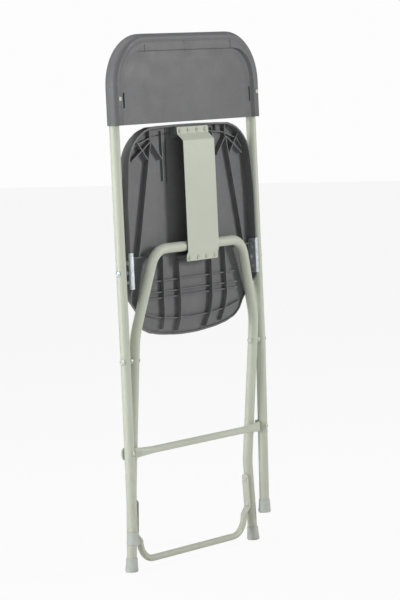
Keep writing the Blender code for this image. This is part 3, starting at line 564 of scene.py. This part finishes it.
def bow(x, z):
    """The rear edge bows outwards, and the front edge a little."""
    end = (z - (SEAT_TOP_Z + SEAT_LOW_Z) / 2) / (SEAT_TOP_Z - SEAT_LOW_Z) * 2
    depth = 0.030 if end < 0 else 0.006
    return (0, -end * end * end * depth * (x / SEAT_HALF) ** 2)


def seat_skin():
    """A grid with its rows drawn in to the seat's outline and its edge turned down as the rim."""
    deselect()
    rows, columns = 46, 32
    bpy.ops.mesh.primitive_grid_add(x_subdivisions=columns, y_subdivisions=rows, size=1)
    seat = bpy.context.object
    seat.name = "seat"
    seat.rotation_euler = (math.radians(90), 0, 0)
    seat.scale = (2 * SEAT_HALF, SEAT_TOP_Z - SEAT_LOW_Z, 1)
    seat.location = place(0, SITTING, (SEAT_TOP_Z + SEAT_LOW_Z) / 2)
    bpy.ops.object.transform_apply(location=True, rotation=True, scale=True)
    edit(seat)
    for z in (SEAT_LOW_Z + 0.0047, SEAT_TOP_Z - 0.0047):
        cut_across("Z", z)
    shape = bmesh.from_edit_mesh(seat.data)
    for z in sorted({round(v.co.z, 4) for v in shape.verts}):
        choose("VERT", lambda v, z=z: abs(v.co.z - z) < 0.0002)
        share = seat_half_width(z) / SEAT_HALF
        bpy.ops.transform.resize(value=(share, 1, 1), center_override=(0, FRAME_Y, z))
    choose("EDGE", lambda e: len(e.link_faces) == 1)
    bpy.ops.mesh.extrude_region_move(TRANSFORM_OT_translate={"value": (0, -LIP, 0)})
    edge_y = FRAME_Y + SITTING - LIP
    shape = bmesh.from_edit_mesh(seat.data)
    edge = [v.co for v in shape.verts if v.co.y < edge_y + EXACT]
    spots = {(round(abs(spot.x), 4), round(spot.z, 4)) for spot in edge}
    for x, z in sorted(spots):
        choose("VERT", lambda v: v.co.y < edge_y + EXACT and at(v, x, z))
        bpy.ops.transform.translate(value=(0, LIP - rim_depth(x, z), 0))
    bpy.ops.mesh.select_all(action="SELECT")
    bpy.ops.mesh.normals_make_consistent(inside=False)
    done()
    in_cage(seat, (9, 2, 7), bow)
    modify(seat, "BEVEL", width=0.0038, segments=3, limit_method="ANGLE", angle_limit=math.radians(50))
    modify(seat, "SOLIDIFY", thickness=SKIN, offset=-1, use_even_offset=True)
    return seat


def wall(name, line, foot, front, thick=0.0023):
    """A rib along a line of (x, z) places, drawn out end by end from a plane."""
    line = [Vector(spot) for spot in line]
    direction = (line[-1] - line[0]).normalized()
    side = Vector((direction.y, -direction.x))
    middle = place(line[0].x, (foot + front) / 2, line[0].y)
    deselect()
    bpy.ops.mesh.primitive_plane_add(size=1, location=middle)
    rib = bpy.context.object
    rib.name = name
    across = Vector((side.x, 0, side.y))
    turn = Matrix((across, Vector((0, 1, 0)), across.cross(Vector((0, 1, 0))))).transposed()
    rib.rotation_euler = turn.to_euler()
    rib.scale = (thick, abs(foot - front), 1)
    bpy.ops.object.transform_apply(location=True, rotation=True, scale=True)
    edit(rib)
    bpy.ops.mesh.select_all(action="SELECT")
    for here, there in zip(line, line[1:]):
        count = max(1, round((there - here).length / 0.022))
        step = (there - here) / count
        for _ in range(count):
            bpy.ops.mesh.extrude_region_move(TRANSFORM_OT_translate={"value": (step.x, 0, step.y)})
    bpy.ops.mesh.select_all(action="SELECT")
    bpy.ops.mesh.normals_make_consistent(inside=False)
    done()
    return rib


HIGH_RIB = -0.0100
LOW_RIB = -0.0060


def seat_ribs():
    """(line, front) of each rib: those of the right half are repeated on the left."""
    half = [
        ([(0.118, 0.800), (0.127, 0.761), (0.146, 0.677), (0.160, 0.612), (0.166, 0.588)], HIGH_RIB),
        ([(0.118, 0.800), (0.174, 0.765)], HIGH_RIB),
        ([(0.118, 0.800), (0.086, 0.765)], HIGH_RIB),
        ([(0.128, 0.766), (0.160, 0.803)], HIGH_RIB),
        ([(0.118, 0.799), (0.118, 0.822)], LOW_RIB - 0.002),
        ([(0.048, 0.8135), (0.110, 0.808), (0.160, 0.794), (0.178, 0.776)], LOW_RIB - 0.001),
        ([(0.064, 0.824), (0.066, 0.720)], LOW_RIB),
        ([(0.080, 0.818), (0.079, 0.724)], LOW_RIB + 0.001),
        ([(0.098, 0.590), (0.099, 0.545), (0.100, 0.498), (0.092, 0.446)], HIGH_RIB),
        ([(0.051, 0.572), (0.051, 0.530), (0.050, 0.492), (0.044, 0.439)], HIGH_RIB - 0.001),
        ([(0.135, 0.586), (0.193, 0.587)], LOW_RIB - 0.002),
    ]
    both = [([(x * side, z) for x, z in line], front) for line, front in half for side in (1, -1)]
    both += [([(x, 0.812), (x, 0.826)], LOW_RIB) for x in (-0.036, -0.022, -0.008, 0.008, 0.022, 0.036)]
    both += [([(x, 0.810), (x, 0.824)], LOW_RIB) for x in (-0.092, -0.105, 0.092, 0.105)]
    both += [([(-0.134, 0.538), (0.134, 0.538)], LOW_RIB)]
    both += [([(-0.140, 0.517), (0.140, 0.517)], LOW_RIB)]
    both += [([(-0.142, 0.506), (0.142, 0.506)], LOW_RIB)]
    curved = [(0.149, 0.479), (0.112, 0.470), (0.060, 0.4645), (0, 0.4625)]
    both += [([(-x, z) for x, z in curved] + curved[-2::-1], LOW_RIB)]
    return both


def make_seat():
    seat = seat_skin()
    foot = SITTING - SKIN * 0.5
    hair = 0.00003  # ribs that follow each other end in slightly different planes
    walls = [
        wall(f"wall_{i}", line, foot + (i % 9) * hair, front - (i % 7) * hair)
        for i, (line, front) in enumerate(seat_ribs())
    ]
    top_pad = cube("pad", place(-0.050, -0.0165, 0.8100), place(0.050, foot, 0.8245))
    edit(top_pad)
    choose("EDGE", lambda e: all(v.co.y < FRAME_Y - 0.01 for v in e.verts))
    bevel_chosen(0.0012, 2)
    done()
    boss = cube("boss", place(-0.048, -0.0263, 0.5702), place(0.048, foot, 0.5820))
    edit(boss)
    choose("EDGE", lambda e: span(e, "y") > 0.01)
    bevel_chosen(0.002, 2)
    done()
    for extra in walls + [top_pad, boss]:
        boolean(seat, extra, "UNION")
    in_cage(seat, (11, 2, 17), lambda x, z: (seat_rise(x, z), 0))
    return finish_piece(seat, PLASTIC, "seat", "plastic", "seat_shell", angle=38)


make_seat()


# ---------------------------------------------------------------- backrest

BACK_LOW, BACK_HIGH = (Vector(corner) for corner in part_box("backrest_shell"))
BACK_HALF = BACK_HIGH.x
TOP_Z = BACK_HIGH.z
BOTTOM_Z = BACK_LOW.z
FRAME_HALF = middle_of("front_foot_cap_right").x + 0.004
TUBE_RADIUS = 0.0095
TOP_BEND = 0.085
TOP_BEND_Z = TOP_Z - 0.012 - TOP_BEND  # where the legs begin to bend
CUT_FROM_Z = BOTTOM_Z - 0.02  # cutters start clear of the shell's lower edge
RIVET_Z = middle_of("backrest_rivet_left").z
FRONT_ROUND, REAR_ROUND = 0.0095, 0.0105
WALL_BEHIND = 0.003


def rounded_block(name, half, low_z, top_z, front, rear, radius, segments=14):
    """A block whose two upper corners are rounded off, seen from the front."""
    block = cube(name, place(-half, front, low_z), place(half, rear, top_z))
    edit(block)
    choose("EDGE", lambda e: span(e, "x") < EXACT and all(v.co.z > top_z - NEAR for v in e.verts))
    bevel_chosen(radius, segments)
    done()
    return block


def tube_core(radius):
    """The space that the frame tube takes: a leg, spun over the top and down the other side."""
    top = TOP_BEND_Z
    core = cylinder("core", place(-FRAME_HALF, 0, CUT_FROM_Z), place(-FRAME_HALF, 0, top), radius, 24)
    edit(core)
    choose("FACE", lambda f: f.normal.z > 0.9)
    bend = {"steps": 8, "axis": (0, 1, 0), "dupli": False, "angle": math.radians(-90)}
    bpy.ops.mesh.spin(center=place(-FRAME_HALF + TOP_BEND, 0, top), **bend)
    run = 2 * (FRAME_HALF - TOP_BEND)
    bpy.ops.mesh.extrude_region_move(TRANSFORM_OT_translate={"value": (run, 0, 0)})
    bpy.ops.mesh.spin(center=place(FRAME_HALF - TOP_BEND, 0, top), **bend)
    bpy.ops.mesh.extrude_region_move(TRANSFORM_OT_translate={"value": (0, 0, CUT_FROM_Z - top)})
    bpy.ops.mesh.select_all(action="SELECT")
    bpy.ops.mesh.remove_doubles(threshold=EXACT)
    bpy.ops.mesh.normals_make_consistent(inside=False)
    done()
    return core


GROOVE_ROWS = (  # width and step back of each row round the rim, which leave a faint groove
    (0.0030, 0),
    (0.0030, 0.0008),
    (0.0030, 0),
    (0.0030, -0.0008),
    (0.0025, 0),
)
# Width and step of each row of the valley round the panel.
VALLEY_ROWS = ((0.0065, -0.0009), (0.0075, -0.0014), (0.0060, -0.0003))
SLITS = (  # middle, lower and upper end, and width of each moulding slit in the top rim
    (-0.135, 0.9665, 0.9805, 0.0011),
    (0.135, 0.9665, 0.9835, 0.0013),
    (-0.012, 0.9790, 0.9850, 0.0007),
)
MARK_X, MARK_HALF = 0.2175, 0.0022
FINGER_SLOT_X, FINGER_SLOT_HALF = 0.1975, 0.0022


def make_backrest():
    front, rear = BACK_LOW.y - FRAME_Y, BACK_HIGH.y - FRAME_Y
    below = BOTTOM_Z - 0.05
    shell = rounded_block("backrest", BACK_HALF, below, TOP_Z, front, rear, 0.097, 18)
    edit(shell)
    choose("EDGE", lambda e: all(v.co.y < FRAME_Y + front + NEAR for v in e.verts))
    bevel_chosen(FRONT_ROUND, 6)
    choose("EDGE", lambda e: all(v.co.y > FRAME_Y + rear - NEAR for v in e.verts))
    bevel_chosen(REAR_ROUND, 6)
    choose("FACE", lambda f: f.normal.y < -0.99 and f.calc_area() > 0.02)
    for width, back in GROOVE_ROWS:
        bpy.ops.mesh.inset(thickness=width, depth=0)
        bpy.ops.transform.translate(value=(0, back, 0))
    bpy.ops.mesh.select_all(action="SELECT")
    bpy.ops.mesh.bisect(plane_co=(0, 0, BOTTOM_Z), plane_no=(0, 0, 1), clear_inner=True, use_fill=True)
    choose("EDGE", lambda e: all(abs(v.co.z - BOTTOM_Z) < EXACT for v in e.verts))
    bevel_chosen(0.0008, 2)
    done()
    boolean(shell, panel_cutter(front), "DIFFERENCE")
    pocket_half = FRAME_HALF - TUBE_RADIUS - 0.0035
    ends = (CUT_FROM_Z, TOP_Z - 0.025, front + 0.0095, rear - WALL_BEHIND)
    pocket = rounded_block("pocket", pocket_half, *ends, 0.070, 10)
    boolean(shell, pocket, "DIFFERENCE")
    boolean(shell, tube_core(TUBE_RADIUS + 0.0003), "DIFFERENCE")
    for x, low_z, high_z, wide in SLITS:
        corner = place(x - wide / 2, front - 0.002, low_z)
        slit = cube("slit", corner, place(x + wide / 2, front + 0.0022, high_z))
        boolean(shell, slit, "DIFFERENCE")
    for side in (-1, 1):
        corner = place(side * MARK_X - MARK_HALF, front - 0.002, 0.8674)
        mark = cube("mark", corner, place(side * MARK_X + MARK_HALF, front + 0.0012, 0.8682))
        boolean(shell, mark, "DIFFERENCE")
        middle = side * FINGER_SLOT_X
        corner = place(middle - FINGER_SLOT_HALF, front + 0.002, 0.8640)
        slot = cube("finger_slot", corner, place(middle + FINGER_SLOT_HALF, front + 0.0110, 0.8930))
        edit(slot)
        choose("EDGE", lambda e: span(e, "y") > 0.004)
        bevel_chosen(0.0014, 3)
        done()
        boolean(shell, slot, "DIFFERENCE")
        ends = [place(side * FRAME_HALF, y, RIVET_Z) for y in (-0.03, 0.03)]
        hole = cylinder("rivet_hole", *ends, 0.0028, 20)
        boolean(shell, hole, "DIFFERENCE")
    return finish_piece(shell, PLASTIC, "back_frame", "plastic", "backrest_shell", angle=32)


def panel_cutter(front):
    """Sets the panel back from the rim, with a shallow valley along the step."""
    ends = (BOTTOM_Z - 0.06, 0.9685, front - 0.004, front + 0.0052)
    cutter = rounded_block("panel_cutter", 0.2005, *ends, 0.062, 18)
    edit(cutter)
    choose("FACE", lambda f: f.normal.y < -0.9)
    bpy.ops.transform.resize(value=(1.06, 1, 1), center_override=place(0, 0, 0.9))
    choose("FACE", lambda f: f.normal.y > 0.9)
    bpy.ops.mesh.inset(thickness=0.0025, depth=0)
    for width, move in VALLEY_ROWS:
        bpy.ops.mesh.inset(thickness=width, depth=0)
        bpy.ops.transform.translate(value=(0, move, 0))
    done()
    return cutter


make_backrest()


# ---------------------------------------------------------------- foot caps


SOLE_HEIGHT, SOLE_RADIUS = 0.0012, 0.0112
BORE_RADIUS, BORE_FLOOR = 0.0098, 0.004
CAP_RINGS = [  # height and radius
    (0.0024, 0.0124),
    (0.0060, 0.0124),
    (0.0072, 0.0119),
    (0.0086, 0.0121),
    (0.0100, 0.0117),
    (0.0130, 0.0115),
    (0.0200, 0.0111),
]


def make_foot_cap(node, body, lean):
    """A flared cup drawn up ring by ring, with a bore for the leg."""
    low, high = (Vector(corner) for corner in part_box(node))
    base = Vector(((low.x + high.x) / 2, (low.y + high.y) / 2, low.z))
    if node.startswith("rear"):
        base.x, base.y = math.copysign(0.195, base.x), FRAME_Y + 0.025
    else:
        base.x, base.y = math.copysign(FRAME_HALF - 0.004, base.x), FRAME_Y + 0.006
    tall = high.z - low.z
    cap = cylinder(node + "_moulded", base, base + Vector((0, 0, SOLE_HEIGHT)), SOLE_RADIUS, 40)
    edit(cap)
    rings = CAP_RINGS + [(tall - 0.0012, 0.01095), (tall, 0.0104)]
    here, radius = SOLE_HEIGHT, SOLE_RADIUS
    choose("FACE", lambda f: f.normal.z > 0.9)
    for height, wide in rings:
        step = height - here
        move = (lean[0] * step, lean[1] * step, step)
        bpy.ops.mesh.extrude_region_move(TRANSFORM_OT_translate={"value": move})
        centre = base + Vector((lean[0], lean[1], 1)) * height
        bpy.ops.transform.resize(value=(wide / radius, wide / radius, 1), center_override=centre)
        here, radius = height, wide
    bpy.ops.mesh.extrude_region_move()
    top = base + Vector((lean[0], lean[1], 1)) * tall
    share = BORE_RADIUS / radius
    bpy.ops.transform.resize(value=(share, share, 1), center_override=top)
    down = BORE_FLOOR - tall
    move = (lean[0] * down, lean[1] * down, down)
    bpy.ops.mesh.extrude_region_move(TRANSFORM_OT_translate={"value": move})
    done()
    return finish_piece(cap, CAP, body, "cap", node, angle=40)


LEANS = {
    "front_foot_cap_left": ("back_frame", (-0.0117, -0.0175)),
    "front_foot_cap_right": ("back_frame", (0.0117, -0.0175)),
    "rear_foot_cap_left": ("rear_legs", (0.0601, -0.0084)),
    "rear_foot_cap_right": ("rear_legs", (-0.0601, -0.0084)),
}
for node, (body, lean) in LEANS.items():
    make_foot_cap(node, body, lean)


# ---------------------------------------------------------------- slide channel and its screws


SCREWS = 8
HEAD_RADIUS, HEAD_HEIGHT = 0.00445, 0.0016
SHANK_LENGTH = 0.0118
HEAD_SEAT = 0.0018  # behind the front of the screw's box
CROSS_LONG, CROSS_WIDE = 0.0022, 0.0005


def make_channel():
    """A flat strap bent at both ends; each bend is a row moved back and then rounded."""
    low, high = (Vector(corner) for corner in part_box("slide_channel"))
    sheet, half = 0.0015, high.x
    run_front = low.y - FRAME_Y
    strap = cube("slide_strap", place(-half, run_front, low.z), place(half, run_front + sheet, high.z))
    edit(strap)
    tail, tail_end = 0.5823, 0.5883
    neck, neck_end = 0.7980, 0.8100
    folds = (tail, tail_end, neck, neck_end)
    for z in folds:
        cut_across("Z", z)
    choose("VERT", lambda v: v.co.z < tail + NEAR)
    bpy.ops.transform.translate(value=(0, 0.0035, 0))
    choose("VERT", lambda v: v.co.z > neck_end - NEAR)
    bpy.ops.transform.translate(value=(0, high.y - low.y - sheet, 0))
    choose("EDGE", lambda e: span(e, "x") > half and near_one(e.verts[0].co.z, folds))
    bevel_chosen(0.0022, 3)
    choose("EDGE", lambda e: runs_through(e) and near_one(e.verts[0].co.z, (low.z, high.z)))
    bevel_chosen(0.003, 3)
    done()
    for i in range(SCREWS):
        spot = middle_of(f"channel_screw_{i + 1}")
        ends = [(spot.x, y, spot.z) for y in (low.y - 0.004, high.y + 0.004)]
        hole = cylinder("screw_hole", *ends, 0.0023, 16)
        boolean(strap, hole, "DIFFERENCE")
    return finish_piece(strap, PAINT, "seat", "paint", "slide_channel", angle=30)


def make_screw():
    """A pan head screw with a cross recess, its head's seat at the origin and facing -y."""
    screw = cylinder("screw", (0, -HEAD_HEIGHT, 0), (0, 0, 0), HEAD_RADIUS, 28)
    edit(screw)
    choose("EDGE", lambda e: all(v.co.y < -0.0015 for v in e.verts))
    bevel_chosen(0.0012, 4)
    choose("FACE", lambda f: f.normal.y > 0.9)
    bpy.ops.mesh.inset(thickness=0.00255, depth=0)
    bpy.ops.mesh.extrude_region_move(TRANSFORM_OT_translate={"value": (0, SHANK_LENGTH, 0)})
    bpy.ops.transform.resize(value=(0.55, 1, 0.55), center_override=(0, SHANK_LENGTH, 0))
    done()
    for x, z in ((CROSS_LONG, CROSS_WIDE), (CROSS_WIDE, CROSS_LONG)):
        slot = cube("recess", (-x, -0.003, -z), (x, -0.0008, z))
        boolean(screw, slot, "DIFFERENCE")
    return screw


def make_screws():
    first = make_screw()
    for i in range(SCREWS):
        node = f"channel_screw_{i + 1}"
        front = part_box(node)[0][1]
        spot = middle_of(node)
        copy = first.copy()
        copy.data = first.data.copy()
        copy.name = f"strap_screw_{i + 1}"
        bpy.context.scene.collection.objects.link(copy)
        copy.location = (spot.x, front + HEAD_SEAT, spot.z)
        finish_piece(copy, PAINT, "seat", "paint", node, angle=35)
    bpy.data.objects.remove(first, do_unlink=True)


make_channel()
make_screws()


# ---------------------------------------------------------------- hinge brackets


FLANGE = 0.0045
PUNCHED = (-0.0262, 0.0300)  # heights of the punched holes from the pivot


def make_bracket(word, side):
    """A sheet folded over the rim: the web first, then a flange drawn back from each of its edges."""
    node = f"seat_bracket_{word}"
    low, high = (Vector(corner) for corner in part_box(node))
    sheet = 0.0018
    inner, outer = sorted((low.x, high.x), key=abs)
    front = low.y - FRAME_Y
    bracket = cube(node + "_folded", place(inner, front, low.z), place(outer, front + sheet, high.z))
    edit(bracket)
    for x in (inner + side * sheet, outer - side * sheet):
        cut_across("X", x)
    choose("FACE", lambda f: f.normal.y > 0.9 and abs(f.calc_center_median().x) < abs(inner) + sheet)
    bpy.ops.mesh.extrude_region_move(TRANSFORM_OT_translate={"value": (0, high.y - low.y - sheet, 0)})
    choose("FACE", lambda f: f.normal.y > 0.9 and abs(f.calc_center_median().x) > abs(outer) - sheet)
    bpy.ops.mesh.extrude_region_move(TRANSFORM_OT_translate={"value": (0, FLANGE, 0)})

    def folded(edge):
        """Whether an upright edge is one of the two in front where the sheet is folded."""
        side_on = min(abs(abs(edge.verts[0].co.x) - abs(x)) for x in (inner, outer)) < EXACT
        return side_on and span(edge, "z") > 0.01 and all(v.co.y < low.y + EXACT for v in edge.verts)

    choose("EDGE", folded)
    bevel_chosen(0.0013, 4)
    choose("EDGE", lambda e: span(e, "x") > 0.001 and all(v.co.y > high.y - EXACT for v in e.verts))
    bevel_chosen(0.006, 6)
    done()
    ends = [place(inner + way * side * 0.01, 0, SEAT_PIVOT) for way in (-1, 1)]
    pivot = cylinder("pivot_hole", *ends, 0.00345, 27)
    boolean(bracket, pivot, "DIFFERENCE")
    for height in ("upper", "lower"):
        spot = middle_of(f"bracket_rivet_{word}_{height}")
        ends = [(inner + way * side * 0.01, spot.y, spot.z) for way in (-1, 1)]
        hole = cylinder("rivet_hole", *ends, 0.0023, 20)
        boolean(bracket, hole, "DIFFERENCE")
    for z in PUNCHED:
        ends = [place(inner + side * reach, -0.0035, SEAT_PIVOT + z) for reach in (-0.01, 0.0026)]
        punch = cylinder("punched_hole", *ends, 0.0016, 16)
        boolean(bracket, punch, "DIFFERENCE")
    return finish_piece(bracket, ZINC, "seat", "zinc", node, angle=35)


make_bracket("left", -1)
make_bracket("right", 1)


# ---------------------------------------------------------------- lower loop

LOOP_RADIUS = 0.0063
LOOP_RUN_Z = 0.016
LOOP_BEND = 0.038
LOOP_FOOT = 0.1666
LOOP_RINGS = (  # height, share of the way to the leg, and the ring's two half sizes
    (0.0575, 0.15, 0.0056, 0.0067),
    (0.0615, 0.45, 0.0040, 0.0073),
    (0.0655, 0.8, 0.0024, 0.0078),
    (0.0685, 1, 0.0016, 0.0080),
    (0.0980, 1, 0.0016, 0.0080),
    (0.1270, 1, 0.0016, 0.0080),
    (0.1300, 1, 0.0016, 0.0070),
    (0.1320, 1, 0.0016, 0.0052),
    (0.1330, 1, 0.0016, 0.0030),
)


def leg_back(z):
    """The rear leg's centre line, behind the back frame's."""
    return 0.025 - 0.0084 * z


def strip_half(z):
    """From the middle to the flattened end, which lies against the inside of the leg."""
    return 0.1834 - 0.0601 * z


def make_loop():
    """Half of the loop: drawn out from a cylinder and flattened ring by ring, then mirrored."""
    start = place(0, leg_back(LOOP_RUN_Z), LOOP_RUN_Z)
    bend_from = place(LOOP_FOOT - LOOP_BEND, leg_back(LOOP_RUN_Z), LOOP_RUN_Z)
    loop = cylinder("lower_loop", start, bend_from, LOOP_RADIUS, 24)
    edit(loop)
    choose("FACE", lambda f: f.normal.x > 0.9)
    hub = bend_from + Vector((0, 0, LOOP_BEND))
    bpy.ops.mesh.spin(steps=9, axis=(0, 1, 0), center=hub, angle=math.radians(90), dupli=False)
    here = place(LOOP_FOOT, leg_back(LOOP_RUN_Z), LOOP_RUN_Z + LOOP_BEND)
    size = (LOOP_RADIUS, LOOP_RADIUS)
    for z, share, thick, wide in LOOP_RINGS:
        there = place(LOOP_FOOT + (strip_half(z) - LOOP_FOOT) * share, leg_back(z), z)
        bpy.ops.mesh.extrude_region_move(TRANSFORM_OT_translate={"value": there - here})
        bpy.ops.transform.resize(value=(thick / size[0], wide / size[1], 1), center_override=there)
        here, size = there, (thick, wide)
    choose("FACE", lambda f: f.normal.x < -0.9 and f.calc_center_median().x < NEAR)
    bpy.ops.mesh.delete(type="FACE")
    done()
    modify(loop, "MIRROR")
    for word in ("left_upper", "left_lower", "right_upper", "right_lower"):
        spot = middle_of(f"loop_rivet_{word}")
        reach = Vector((0.02, 0, 0))
        boolean(loop, cylinder("rivet_hole", spot - reach, spot + reach, 0.0027, 20), "DIFFERENCE")
    return finish_piece(loop, PAINT, "rear_legs", "paint", "rear_stretcher_loop", angle=40)


make_loop()
